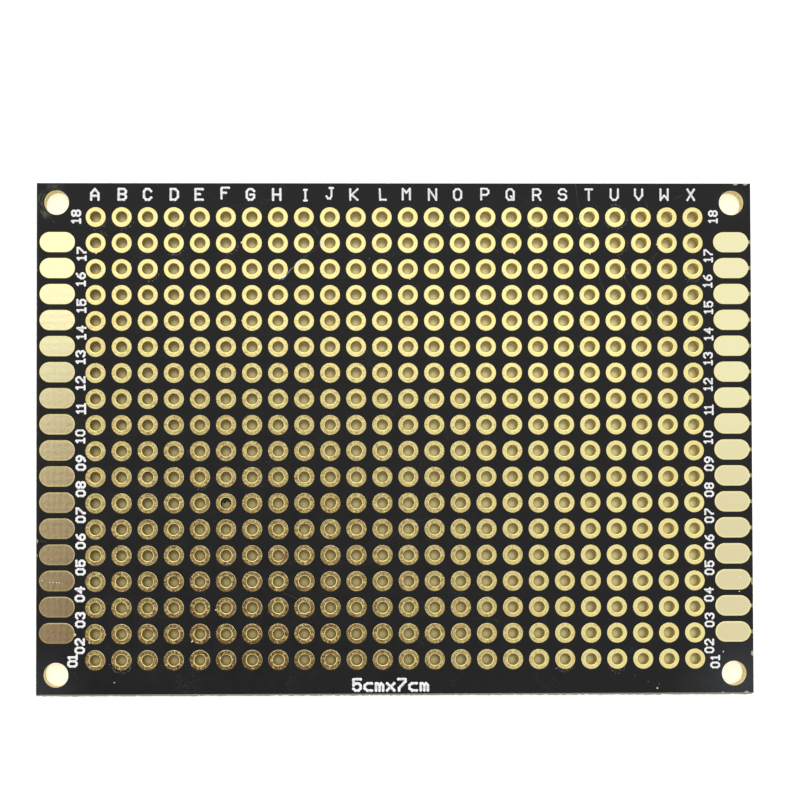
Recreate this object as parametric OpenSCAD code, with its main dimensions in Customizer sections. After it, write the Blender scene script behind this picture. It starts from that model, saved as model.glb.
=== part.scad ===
// Double-sided prototype board: a 24 by 18 grid of plated lead holes on a 2.54 mm pitch,
// with a row of long pads down each short edge and a mounting hole in each corner.
// The board lies flat on the pads of its back face, with its lettered columns along X.

/* [Board] */
// Length of the board, across the lettered columns
board_length = 70; // [69:0.5:90]
// Width of the board, across the numbered rows
board_width = 50; // [49:0.5:70]
// Thickness from the pads of the back face to those of the front
board_thickness = 1.6; // [1.2:0.1:3.2]
// Depth of the V-shaped score that each edge was snapped along
score_depth = 0.4; // [0.1:0.05:0.4]
// Angle between the walls of that score
score_angle = 30; // [20:5:60]

/* [Copper] */
// Thickness of the foil and the plating on each face
copper_thickness = 0.05; // [0.04:0.01:0.1]
// Thickness of the plating on the wall of a lead hole
barrel_plating = 0.05; // [0.02:0.01:0.1]
// Width of the sloping edge that etching leaves round a pad
etched_rim = 0.05; // [0.04:0.01:0.12]

/* [Lead holes] */
// Number of columns, each with a letter
columns = 24; // [2:1:24]
// Number of rows, each with a number
rows = 18; // [3:1:18]
// Distance from one hole to the next, both ways
pitch = 2.54; // [2.3:0.01:2.58]
// Finished diameter of a lead hole
hole_diameter = 1.05; // [0.7:0.05:1.1]
// Diameter of the round pad about it
pad_diameter = 2.0; // [1.8:0.05:2.05]
// Width of the rounded lead-in at the mouth of the hole
lead_in = 0.09; // [0.05:0.01:0.16]

/* [Mounting holes] */
// Diameter of the plain hole in each corner
mounting_hole_diameter = 2.4; // [1.6:0.1:3.0]
// Distance from its centre to the two edges beside it
mounting_hole_inset = 2.0; // [1.8:0.1:2.4]

/* [Edge pads] */
// Length of a pad, towards the middle of the board
edge_pad_length = 3.5; // [2.5:0.1:3.8]
// Width of a pad
edge_pad_width = 2.05; // [1.6:0.05:2.1]
// Distance from the outer end of a pad to the edge of the board
edge_pad_inset = 0.31; // [0.25:0.01:0.6]
// Distance that a pad lies above its row of lead holes
edge_pad_rise = 0.09; // [0:0.01:0.2]
// Width of the plating tie from a right-hand pad to the edge
tie_width = 0.35; // [0.2:0.05:0.6]

/* [Solder mask] */
// Thickness of the mask on each face
mask_thickness = 0.03; // [0.01:0.005:0.035]
// Bare gap that the mask leaves round a pad
mask_clearance = 0.03; // [0.01:0.01:0.06]

/* [Hidden] */
// Sides of a circle wherever it is drawn as a mesh
$fn = 64;
// Turn from one slope of a hole's rounded mouth to the next, in degrees
mouth_step = 45;

hole_r = hole_diameter / 2;
drill_r = hole_r + barrel_plating;
pad_r = pad_diameter / 2;

// The rounded mouth, from the bore out to the flat of the pad: radius, and depth below the pad's face
mouth = [
    for (turn = [0:mouth_step:90])
        [hole_r + lead_in * (1 - cos(turn)), copper_thickness * (1 - sin(turn))]
];

// The laminate lies between the copper of the two faces
laminate_back = copper_thickness;
laminate_front = board_thickness - copper_thickness;

// How far the score takes each face in from the edge of the board
score_setback = score_depth * tan(score_angle / 2);
face_length = board_length - 2 * score_setback;
face_width = board_width - 2 * score_setback;

mounting_x = board_length / 2 - mounting_hole_inset;
mounting_y = board_width / 2 - mounting_hole_inset;

// The outermost row at each end has no edge pad, because the mounting holes are there
edge_pads = rows - 2;
edge_pad_x = board_length / 2 - edge_pad_inset - edge_pad_length / 2;
edge_pad_end_r = edge_pad_width / 2;
edge_pad_straight = edge_pad_length - edge_pad_width;
tie_length = face_length / 2 - edge_pad_x;

function column_x(c) = (c - (columns - 1) / 2) * pitch;
function row_y(r) = ((rows - 1) / 2 - r) * pitch;
function edge_pad_y(k) = row_y(k + 1) + edge_pad_rise;
function column_letter(c) = chr(ord("a") + c);

// Section of the laminate from edge to edge, with both faces scored at both ends
module scored_section(width) {
    polygon([
        [-width / 2 + score_setback, laminate_back],
        [width / 2 - score_setback, laminate_back],
        [width / 2, laminate_back + score_depth],
        [width / 2, laminate_front - score_depth],
        [width / 2 - score_setback, laminate_front],
        [-width / 2 + score_setback, laminate_front],
        [-width / 2, laminate_front - score_depth],
        [-width / 2, laminate_back + score_depth]
    ]);
}

module at_lead_holes() {
    for (c = [0:columns - 1], r = [0:rows - 1])
        translate([column_x(c), row_y(r)]) children();
}

module at_mounting_holes() {
    for (sx = [-1, 1], sy = [-1, 1])
        translate([sx * mounting_x, sy * mounting_y]) children();
}

// Children are drawn at each pad of one edge, turned so that their +X points out to that edge
module at_edge_pads(side) {
    for (k = [0:edge_pads - 1])
        translate([side * edge_pad_x, edge_pad_y(k)])
            rotate(side > 0 ? 0 : 180) children();
}

// Children stand on the laminate's front face, or hang from its back face
module on_face(front) {
    if (front)
        translate([0, 0, laminate_front]) children();
    else
        translate([0, 0, laminate_back]) mirror([0, 0, 1]) children();
}

// Glass and epoxy core, drilled for the plating and snapped out of its panel
module laminate() {
    color("#cfc9a0")
    difference() {
        intersection() {
            rotate([90, 0, 90]) linear_extrude(board_length, center = true) scored_section(board_width);
            rotate([90, 0, 0]) linear_extrude(board_width, center = true) scored_section(board_length);
        }
        at_lead_holes() cylinder(r = drill_r, h = board_thickness);
        at_mounting_holes() cylinder(d = mounting_hole_diameter, h = board_thickness);
    }
}

// Outline of an edge pad, let out on every side by grow
module edge_pad_outline(grow) {
    square([edge_pad_straight, edge_pad_width + 2 * grow], center = true);
    for (sx = [-1, 1])
        translate([sx * edge_pad_straight / 2, 0]) circle(r = edge_pad_end_r + grow);
}

// Outline of the tie, from the middle of its pad out to the mask's edge
module tie_outline(grow, length) {
    translate([0, -tie_width / 2 - grow]) square([length, tie_width + 2 * grow]);
}

// Mask over one face, open round every pad and hole
module solder_mask(front) {
    color("#2b2c2b")
    on_face(front)
    linear_extrude(mask_thickness)
    difference() {
        square([face_length, face_width], center = true);
        at_lead_holes() circle(r = pad_r + mask_clearance);
        at_mounting_holes() circle(d = mounting_hole_diameter);
        for (side = [-1, 1])
            at_edge_pads(side) edge_pad_outline(mask_clearance);
        at_edge_pads(1) tie_outline(mask_clearance, board_length);
    }
}

// Barrel and two round pads, plated as one: sloping rims outside, a rounded mouth at each end
module plated_hole() {
    back_mouth = mouth;
    front_mouth = [for (i = [len(mouth) - 1:-1:0]) [mouth[i].x, board_thickness - mouth[i].y]];
    outside = [
        [pad_r - etched_rim, 0],
        [pad_r, laminate_back],
        [drill_r, laminate_back],
        [drill_r, laminate_front],
        [pad_r, laminate_front],
        [pad_r - etched_rim, board_thickness]
    ];
    rotate_extrude() polygon(concat(back_mouth, outside, front_mouth));
}

// All the plated holes of one lettered column
module plated_holes(c) {
    color("#d8c283")
    for (r = [0:rows - 1])
        translate([column_x(c), row_y(r)]) plated_hole();
}

// Long pad with round ends and the same sloping rim as the round pads
module edge_pad() {
    for (turn = [0, 180])
        rotate(turn) translate([edge_pad_straight / 2, 0, 0]) rotate(-90)
            rotate_extrude(angle = 180)
                polygon([
                    [0, 0],
                    [edge_pad_end_r, 0],
                    [edge_pad_end_r - etched_rim, copper_thickness],
                    [0, copper_thickness]
                ]);
    rotate([90, 0, 90])
        linear_extrude(edge_pad_straight, center = true)
            polygon([
                [-edge_pad_end_r, 0],
                [edge_pad_end_r, 0],
                [edge_pad_end_r - etched_rim, copper_thickness],
                [-edge_pad_end_r + etched_rim, copper_thickness]
            ]);
}

// Pads of one edge on one face, with their ties where the plating current came in
module edge_pads(side, front, tied) {
    color("#d8c283")
    on_face(front)
    at_edge_pads(side) {
        edge_pad();
        if (tied) linear_extrude(copper_thickness) tie_outline(0, tie_length);
    }
}

laminate();
solder_mask(true);  // solder_mask_front
solder_mask(false);  // solder_mask_back
for (c = [0:columns - 1])
    plated_holes(c);
edge_pads(-1, true, false);  // edge_pads_front_left
edge_pads(1, true, true);  // edge_pads_front_right
edge_pads(-1, false, false);  // edge_pads_back_left
edge_pads(1, false, true);  // edge_pads_back_right
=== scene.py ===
import math

import bpy
from mathutils import Matrix, Vector


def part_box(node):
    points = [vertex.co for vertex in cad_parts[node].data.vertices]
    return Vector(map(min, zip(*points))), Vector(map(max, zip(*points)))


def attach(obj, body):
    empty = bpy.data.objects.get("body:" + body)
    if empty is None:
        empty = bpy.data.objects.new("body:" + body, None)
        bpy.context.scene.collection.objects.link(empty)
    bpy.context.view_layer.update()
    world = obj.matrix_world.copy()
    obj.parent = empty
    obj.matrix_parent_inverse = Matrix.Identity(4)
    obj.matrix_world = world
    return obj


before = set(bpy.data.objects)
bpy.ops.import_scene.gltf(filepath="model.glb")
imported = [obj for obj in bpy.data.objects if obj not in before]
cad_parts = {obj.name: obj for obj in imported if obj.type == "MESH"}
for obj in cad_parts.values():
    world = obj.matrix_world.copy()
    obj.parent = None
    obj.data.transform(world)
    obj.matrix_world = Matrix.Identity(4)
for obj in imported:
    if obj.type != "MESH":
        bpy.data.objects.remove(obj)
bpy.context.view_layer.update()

MM = 0.001


# Laminate: woven glass in epoxy, 1.5 mm thick without its copper, drilled and then snapped out of its panel
# along V-shaped scores. Its edges show the cut slopes of the scores, with a rough broken band between them,
# and the walls of the mounting holes show it bare. Its faces are only seen in the slits round the pads,
# where they are painted dark, a painted shade in the slits. The break leaves a torn lip of fibres on each
# edge, the deepest along the bottom.
LAMINATE_LOW, LAMINATE_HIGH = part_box("laminate")
PLY_THICKNESS = 0.2
SCORE_DEPTH = 0.4
TORN_HEIGHT = 0.5
TORN_STEP = 0.08
TORN_CORNER_GAP = 0.1
TORN_DEPTHS = {"left": 0.04, "right": 0.02, "top": 0.03, "bottom": 0.13}
RESIN = (0.22, 0.24, 0.14, 1)
GLASS = (0.42, 0.44, 0.33, 1)
DRILLED_RESIN = (0.98, 0.82, 0.35, 1)
DRILLED_GLASS = (0.97, 0.90, 0.62, 1)
SHADED_SLIT_FACE = (0.035, 0.028, 0.014, 1)
INKED_SLOPE = (0.030, 0.022, 0.016, 1)


def new_material(name):
    """Returns a new node material with its tree and its shader."""
    material = bpy.data.materials.new(name)
    material.use_nodes = True
    tree = material.node_tree
    return material, tree, tree.nodes["Principled BSDF"]


def add(tree, kind, inputs=None, **settings):
    """Adds a node. Each input is given by its name or place, as a value or as the socket that feeds it."""
    node = tree.nodes.new(kind)
    for name, value in settings.items():
        setattr(node, name, value)
    for name, value in (inputs or {}).items():
        if isinstance(value, bpy.types.NodeSocket):
            tree.links.new(value, node.inputs[name])
        else:
            node.inputs[name].default_value = value
    return node


def millimetres(tree):
    """Place on the board in millimetres, from its Object coordinates."""
    place = add(tree, "ShaderNodeTexCoord").outputs["Object"]
    return add(tree, "ShaderNodeMapping", {"Vector": place, "Scale": (1 / MM,) * 3}).outputs[0]


def stretched(tree, place, scale):
    """The same place with each axis scaled, for a grain that runs one way."""
    return add(tree, "ShaderNodeMapping", {"Vector": place, "Scale": scale}).outputs[0]


def noise(tree, place, scale, detail=2.0, roughness=0.5):
    """Noise with about that many features in a millimetre, around 0.5."""
    inputs = {"Vector": place, "Scale": scale, "Detail": detail, "Roughness": roughness}
    return add(tree, "ShaderNodeTexNoise", inputs).outputs[0]


def math_node(tree, operation, *values):
    """The result of a Math node on one, two or three values or sockets."""
    return add(tree, "ShaderNodeMath", dict(enumerate(values)), operation=operation).outputs[0]


def ramp(tree, value, low, high, start=0.0, end=1.0):
    """Goes smoothly from start to end as the value goes from low to high."""
    inputs = {"Value": value, "From Min": low, "From Max": high, "To Min": start, "To Max": end}
    return add(tree, "ShaderNodeMapRange", inputs, interpolation_type="SMOOTHSTEP").outputs[0]


def mixed(tree, share, first, second):
    """Colour that goes from the first to the second as share goes from 0 to 1."""
    node = add(tree, "ShaderNodeMix", {0: share, 6: first, 7: second}, data_type="RGBA")
    return node.outputs[2]


def bump(tree, height, depth):
    """Normal for a height from 0 to 1 that stands for depth in millimetres."""
    return add(tree, "ShaderNodeBump", {"Height": height, "Distance": depth * MM}).outputs[0]


def dress(material, *nodes):
    """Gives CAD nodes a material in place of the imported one."""
    for name in nodes:
        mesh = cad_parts[name].data
        mesh.materials.clear()
        mesh.materials.append(material)


def run_tree(name, points, edges, tree, values):
    """Puts a tree on a mesh of points and edges, given in metres, and keeps the result as a plain mesh."""
    source = bpy.data.objects.new(name + "_source", bpy.data.meshes.new(name + "_source"))
    source.data.from_pydata(points, edges, [])
    bpy.context.scene.collection.objects.link(source)
    modifier = source.modifiers.new("made", "NODES")
    modifier.node_group = tree
    sockets = {item.name: item.identifier for item in tree.interface.items_tree if item.in_out == "INPUT"}
    for socket, value in values.items():
        modifier[sockets[socket]] = value
    evaluated = source.evaluated_get(bpy.context.evaluated_depsgraph_get())
    mesh = bpy.data.meshes.new_from_object(evaluated)
    piece = bpy.data.objects.new(name, mesh)
    mesh.name = name
    bpy.data.objects.remove(source)
    bpy.context.scene.collection.objects.link(piece)
    return piece


laminate_material, tree, shader = new_material("laminate_fr4")
place = millimetres(tree)
axes = add(tree, "ShaderNodeSeparateXYZ", {0: place}).outputs
ply = math_node(tree, "SINE", math_node(tree, "MULTIPLY", axes["Z"], 2 * math.pi / PLY_THICKNESS))
fibres = noise(tree, stretched(tree, place, (1, 1, 4)), 7.0, 4.0, 0.7)
cloth = math_node(tree, "MULTIPLY_ADD", ply, 0.12, fibres)
middle = (LAMINATE_LOW.z + LAMINATE_HIGH.z) / 2 / MM
from_middle = math_node(tree, "ABSOLUTE", math_node(tree, "SUBTRACT", axes["Z"], middle))
broken_half = (LAMINATE_HIGH.z - LAMINATE_LOW.z) / 2 / MM - SCORE_DEPTH
broken = ramp(tree, from_middle, broken_half + 0.03, broken_half - 0.03)
edge = mixed(tree, ramp(tree, math_node(tree, "MULTIPLY_ADD", broken, 0.14, cloth), 0.3, 0.8), RESIN, GLASS)
half_length = LAMINATE_HIGH.x / MM
half_width = LAMINATE_HIGH.y / MM
inside_x = ramp(tree, math_node(tree, "ABSOLUTE", axes["X"]), half_length - 0.6, half_length - 0.7)
inside_y = ramp(tree, math_node(tree, "ABSOLUTE", axes["Y"]), half_width - 0.6, half_width - 0.7)
drilled = math_node(tree, "MULTIPLY", inside_x, inside_y)
walls = mixed(tree, drilled, edge, mixed(tree, ramp(tree, cloth, 0.3, 0.9), DRILLED_RESIN, DRILLED_GLASS))
inked = math_node(tree, "MULTIPLY", ramp(tree, axes["X"], 0.3 - half_length, 0.25 - half_length),
                  ramp(tree, axes["Z"], middle + broken_half, middle + broken_half + 0.05))
walls = mixed(tree, inked, walls, INKED_SLOPE)
# Painted shade: the faces, seen only in the slits round the pads, are coloured near black.
on_face = ramp(tree, from_middle, broken_half + SCORE_DEPTH - 0.02, broken_half + SCORE_DEPTH - 0.01)
tree.links.new(mixed(tree, on_face, walls, SHADED_SLIT_FACE), shader.inputs["Base Color"])
tree.links.new(ramp(tree, cloth, 0.3, 0.8, 0.75, 0.5), shader.inputs["Roughness"])
roughened = math_node(tree, "MULTIPLY", cloth, ramp(tree, broken, 0, 1, 0.3, 1))
tree.links.new(bump(tree, roughened, 0.06), shader.inputs["Normal"])
dress(laminate_material, "laminate")


def geometry_tree(name, sockets):
    """Returns a new Geometry Nodes tree with its inputs, each given by name and kind, and its output."""
    tree = bpy.data.node_groups.new(name, "GeometryNodeTree")
    for socket, kind in sockets:
        tree.interface.new_socket(socket, in_out="INPUT", socket_type="NodeSocket" + kind)
    tree.interface.new_socket("Result", in_out="OUTPUT", socket_type="NodeSocketGeometry")
    return tree, tree.nodes.new("NodeGroupInput").outputs, tree.nodes.new("NodeGroupOutput")


def torn_edge_tree():
    """Geometry Nodes tree that runs a lip of oval section along an edge and pulls its outer side about."""
    tree, given, result = geometry_tree("torn_edge", [
        ("Edge", "Geometry"), ("Depth", "Float"), ("Height", "Float"), ("Step", "Float"),
        ("Material", "Material")])
    line = add(tree, "GeometryNodeMeshToCurve", {"Mesh": given["Edge"]}).outputs[0]
    line = add(tree, "GeometryNodeResampleCurve",
               {"Curve": line, "Length": given["Step"]}, mode="LENGTH").outputs[0]
    line = add(tree, "GeometryNodeSetCurveNormal", {"Curve": line}, mode="Z_UP").outputs[0]
    section = add(tree, "GeometryNodeCurvePrimitiveCircle", {"Resolution": 8, "Radius": 1.0}).outputs[0]
    half_height = math_node(tree, "MULTIPLY", given["Height"], 0.5)
    oval = add(tree, "ShaderNodeCombineXYZ", {"X": given["Depth"], "Y": half_height, "Z": 1.0}).outputs[0]
    section = add(tree, "GeometryNodeTransform", {"Geometry": section, "Scale": oval}).outputs[0]
    lip = add(tree, "GeometryNodeCurveToMesh", {
        "Curve": line, "Profile Curve": section, "Fill Caps": True}).outputs[0]
    position = add(tree, "GeometryNodeInputPosition").outputs[0]
    tears = add(tree, "ShaderNodeTexNoise",
                {"Vector": position, "Scale": 3.0 / MM, "Detail": 3.0}).outputs["Color"]
    tears = add(tree, "ShaderNodeVectorMath", {0: tears, 1: (0.5, 0.5, 0.5)},
                operation="SUBTRACT").outputs[0]
    tears = add(tree, "ShaderNodeVectorMath", {0: tears, "Scale": given["Depth"]},
                operation="SCALE").outputs[0]
    tears = add(tree, "ShaderNodeVectorMath", {0: tears, "Scale": 1.7}, operation="SCALE").outputs[0]
    lip = add(tree, "GeometryNodeSetPosition", {"Geometry": lip, "Offset": tears}).outputs[0]
    lip = add(tree, "GeometryNodeRealizeInstances", {"Geometry": lip}).outputs[0]
    lip = add(tree, "GeometryNodeSetMaterial", {"Geometry": lip, "Material": given["Material"]}).outputs[0]
    tree.links.new(lip, result.inputs[0])
    return tree


torn_tree = torn_edge_tree()
end_x = LAMINATE_HIGH.x - TORN_CORNER_GAP * MM
end_y = LAMINATE_HIGH.y - TORN_CORNER_GAP * MM
middle_z = middle * MM
torn_lines = {
    "left": [(-LAMINATE_HIGH.x, -end_y, middle_z), (-LAMINATE_HIGH.x, end_y, middle_z)],
    "right": [(LAMINATE_HIGH.x, -end_y, middle_z), (LAMINATE_HIGH.x, end_y, middle_z)],
    "top": [(-end_x, LAMINATE_HIGH.y, middle_z), (end_x, LAMINATE_HIGH.y, middle_z)],
    "bottom": [(-end_x, -LAMINATE_HIGH.y, middle_z), (end_x, -LAMINATE_HIGH.y, middle_z)],
}
for side, line in torn_lines.items():
    values = {"Depth": TORN_DEPTHS[side] * MM, "Height": TORN_HEIGHT * MM, "Step": TORN_STEP * MM,
              "Material": laminate_material}
    lip = run_tree(f"torn_edge_{side}", line, [(0, 1)], torn_tree, values)
    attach(lip, "root")


# Plated copper: 35 micron foil, etched to pads and built up in one bath with the barrels of the lead holes,
# then finished in nickel and a flash of gold. The thin gold is grainy on the round pads, with coppery stains
# that are painted strongest towards the lower left, partly painted shade where the pads mirror the dark
# opening, and smooth on the long ones, which are painted darker there and towards the bottom, a painted
# shade, and show the weave faintly. The barrels are rougher than the faces, and painted darker inside, a
# painted shade. The sloping rims of the pads, the mouths of the holes and the edges of the long pads are
# painted paler, a painted highlight.
HOLE_GOLD = (0.93, 0.84, 0.365, 1)
EDGE_GOLD = (0.92, 0.86, 0.52, 1)
EDGE_GOLD_SHADED = (0.74, 0.65, 0.39, 1)
COPPERY_GOLD = (0.92, 0.77, 0.31, 1)
STAIN_AND_SHADE = (0.50, 0.25, 0.115, 1)
SHADED_BARREL_GOLD = (0.54, 0.43, 0.15, 1)
RIM_HIGHLIGHT_GOLD = (0.93, 0.83, 0.46, 1)
MOUTH_HIGHLIGHT_GOLD = (0.98, 0.92, 0.60, 1)
EDGE_RIM_HIGHLIGHT = (0.98, 0.90, 0.44, 1)
TIE = (0.30, 0.31, 0.15, 1)
WEAVE_X = 0.62
WEAVE_Y = 0.70
PITCH = 2.54
MIRRORED_DARK_PLACE = (-16.0, -20.0)
STAIN_SHADE_REACH = 46.0
EDGE_PAD_WIDTH = 2.05
EDGE_PAD_STRAIGHT = 1.45
EDGE_PAD_MIDDLE = 32.94
EDGE_PAD_RISE = 0.09
PAD_COLUMNS = [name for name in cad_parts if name.startswith("plated_holes_")]
EDGE_PADS = [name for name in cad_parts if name.startswith("edge_pads_")]
FRONT_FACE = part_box("edge_pads_front_left")[1].z
EDGE_PADS_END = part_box("edge_pads_front_left")[0].x


def weave(tree, place):
    """Height of the glass cloth's crossings, from 0 to 1."""
    axes = add(tree, "ShaderNodeSeparateXYZ", {0: place}).outputs
    along = math_node(tree, "SINE", math_node(tree, "MULTIPLY", axes["X"], 2 * math.pi / WEAVE_X))
    across = math_node(tree, "SINE", math_node(tree, "MULTIPLY", axes["Y"], 2 * math.pi / WEAVE_Y))
    both = math_node(tree, "ADD", along, across)
    return math_node(tree, "MULTIPLY_ADD", both, 0.25, 0.5)


def distance_to(tree, place, x, y):
    """Distance in millimetres from a point on the face, straight down through the board."""
    flat = add(tree, "ShaderNodeMapping", {"Vector": place, "Scale": (1, 1, 0)}).outputs[0]
    inputs = {0: flat, 1: (x, y, 0)}
    return add(tree, "ShaderNodeVectorMath", inputs, operation="DISTANCE").outputs["Value"]


def length_of(tree, x, y):
    """Length of a flat vector from its two parts."""
    squares = math_node(tree, "ADD", math_node(tree, "POWER", x, 2.0), math_node(tree, "POWER", y, 2.0))
    return math_node(tree, "SQRT", squares)


def gold_plating(name, gold, weave_depth, grain_depth, tied):
    """Gold finish whose foil shows the weave and its own grain, each to a depth in millimetres."""
    material, tree, shader = new_material(name)
    place = millimetres(tree)
    axes = add(tree, "ShaderNodeSeparateXYZ", {0: place}).outputs
    from_mirrored_dark = distance_to(tree, place, *MIRRORED_DARK_PLACE)
    # Painted shade: the stains are strongest towards the lower left, where the pads mirror the dark opening.
    stain_shade_share = ramp(tree, from_mirrored_dark, STAIN_SHADE_REACH, 6.0, 0.05, 1.0)
    stains = ramp(tree, noise(tree, place, 2.9, 3.0, 0.6), 0.52, 0.68)
    if tied:
        # Painted shade: the long pads are darker towards the bottom and the lower left, where they mirror
        # the dark opening.
        edge_shade = math_node(tree, "MAXIMUM", ramp(tree, from_mirrored_dark, 36.0, 22.0), ramp(
            tree, axes["Y"], 8.0, -10.0, 0.0, 0.7))
        colour = mixed(tree, edge_shade, gold, EDGE_GOLD_SHADED)
        stains = math_node(tree, "MULTIPLY", stains, 0.3)
    else:
        blotches = noise(tree, place, 1.6, 3.0, 0.6)
        colour = mixed(tree, ramp(tree, blotches, 0.45, 0.75), gold, COPPERY_GOLD)
        cell = add(tree, "ShaderNodeVectorMath", {0: place, 1: (PITCH, PITCH, 100.0)},
                   operation="DIVIDE").outputs[0]
        cell = add(tree, "ShaderNodeVectorMath", {0: cell}, operation="FLOOR").outputs[0]
        chance = add(tree, "ShaderNodeTexWhiteNoise", {"Vector": cell}).outputs["Value"]
        colour = mixed(tree, ramp(tree, chance, 0.6, 1.0, 0.0, 0.5), colour, COPPERY_GOLD)
    colour = mixed(tree, math_node(tree, "MULTIPLY", stains, stain_shade_share), colour, STAIN_AND_SHADE)
    if tied:
        along = math_node(tree, "SUBTRACT", math_node(tree, "ABSOLUTE", axes["X"]), EDGE_PAD_MIDDLE)
        along = math_node(tree, "SUBTRACT", math_node(tree, "ABSOLUTE", along), EDGE_PAD_STRAIGHT / 2)
        along = math_node(tree, "MAXIMUM", along, 0.0)
        across = math_node(tree, "DIVIDE", math_node(tree, "SUBTRACT", axes["Y"], EDGE_PAD_RISE), PITCH)
        across = math_node(tree, "SUBTRACT", math_node(tree, "FRACT", across), 0.5)
        from_line = length_of(tree, along, math_node(tree, "MULTIPLY", across, PITCH))
        # Painted highlight: a paler outline round each long pad.
        at_rim = ramp(tree, from_line, EDGE_PAD_WIDTH / 2 - 0.22, EDGE_PAD_WIDTH / 2 - 0.10, 0.0, 0.8)
        colour = mixed(tree, at_rim, colour, EDGE_RIM_HIGHLIGHT)
    centre_z = FRONT_FACE / MM / 2
    from_centre = math_node(tree, "ABSOLUTE", math_node(tree, "SUBTRACT", axes["Z"], centre_z))
    depth = math_node(tree, "SUBTRACT", centre_z, from_centre)
    in_barrel = ramp(tree, depth, 0.06, 0.2)
    # Painted shade: the gold is darker down the barrels.
    colour = mixed(tree, in_barrel, colour, SHADED_BARREL_GOLD)
    normal = add(tree, "ShaderNodeNewGeometry").outputs["True Normal"]
    upright = math_node(tree, "ABSOLUTE", add(tree, "ShaderNodeSeparateXYZ", {0: normal}).outputs["Z"])
    in_cell = [math_node(tree, "FRACT", math_node(tree, "DIVIDE", axes[axis], PITCH)) for axis in "XY"]
    from_bore = length_of(tree, *[math_node(tree, "SUBTRACT", share, 0.5) for share in in_cell])
    sloping = math_node(tree, "MULTIPLY", ramp(tree, upright, 0.9, 0.8), ramp(tree, depth, 0.06, 0.05))
    outside = 1.0 if tied else ramp(tree, from_bore, 0.7 / PITCH, 0.8 / PITCH)
    # Painted highlight: the sloping outer rims are paler gold.
    colour = mixed(tree, math_node(tree, "MULTIPLY", sloping, outside), colour, RIM_HIGHLIGHT_GOLD)
    if tied:
        pads_end = -EDGE_PADS_END / MM
        on_tie = ramp(tree, math_node(tree, "ABSOLUTE", axes["X"]), pads_end - 0.03, pads_end)
        colour = mixed(tree, on_tie, colour, TIE)
    else:
        # Painted highlight: the sloping mouths of the holes are paler gold.
        mouth = math_node(tree, "MULTIPLY", sloping, math_node(tree, "SUBTRACT", 1.0, outside))
        colour = mixed(tree, mouth, colour, MOUTH_HIGHLIGHT_GOLD)
    tree.links.new(colour, shader.inputs["Base Color"])
    shader.inputs["Metallic"].default_value = 1.0
    grain = noise(tree, place, 3.4, 3.0, 0.5)
    fine = noise(tree, place, 16.0, 2.0, 0.6)
    roughness = math_node(tree, "MULTIPLY_ADD", fine, 0.10, ramp(tree, in_barrel, 0, 1, 0.05, 0.24))
    tree.links.new(roughness, shader.inputs["Roughness"])
    height = math_node(tree, "MULTIPLY", grain, grain_depth)
    pits = ramp(tree, noise(tree, place, 6.0, 2.0, 0.6), 0.56, 0.72)
    height = math_node(tree, "MULTIPLY_ADD", pits, grain_depth * (0.0 if tied else 0.6), height)
    height = math_node(tree, "MULTIPLY_ADD", weave(tree, place), weave_depth, height)
    height = math_node(tree, "MULTIPLY", height, ramp(tree, in_barrel, 0, 1, 1, 0.2))
    tree.links.new(bump(tree, height, 1.0), shader.inputs["Normal"])
    return material


hole_gold = gold_plating("plated_hole_gold", HOLE_GOLD, 0.0008, 0.006, False)
edge_gold = gold_plating("edge_pad_gold", EDGE_GOLD, 0.0012, 0.0030, True)
dress(hole_gold, *PAD_COLUMNS)
dress(edge_gold, *EDGE_PADS)


# Solder mask: a film of black epoxy ink, 30 microns thick, screened over each face and left open round the
# pads. It is satin, a little uneven in gloss, ragged where the board was snapped, and hazed here and there
# by dust and by handling, most of all round the top left mounting hole. Its bottom corners and the rims of
# the two right mounting holes are painted lighter and bluish, a painted sheen.
MASK_BLACK = (0.0060, 0.0062, 0.0062, 1)
MASK_HAZE = (0.030, 0.030, 0.027, 1)
MASK_SCUFF = (0.085, 0.088, 0.074, 1)
MASK_CHIP = (0.40, 0.39, 0.26, 1)
MASK_SHEEN = (0.045, 0.048, 0.058, 1)
SCUFFED_HOLE = (-33.0, 23.0)
SMEARED_PLACE = (-33.1, 24.7)
CHIPPED_PLACES = [(34.93, -21.05, 0.32), (34.97, -14.2, 0.30), (34.97, -16.3, 0.24), (33.4, 24.97, 0.30),
                  (34.4, 24.92, 0.26), (-34.93, -11.4, 0.18), (-34.95, -10.03, 0.26), (34.2, -24.97, 0.30),
                  (31.9, -24.98, 0.22), (-0.6, 24.98, 0.16)]
SHEEN_PLACES = [(35.0, -25.0, 9.0, 0.6), (-35.0, -25.0, 6.0, 0.45), (33.0, -23.0, 2.4, 0.35),
                (33.0, 23.0, 2.2, 0.3)]
MASK_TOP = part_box("solder_mask_front")[1].z
mask_half_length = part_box("solder_mask_front")[1].x / MM
mask_half_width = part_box("solder_mask_front")[1].y / MM


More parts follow.
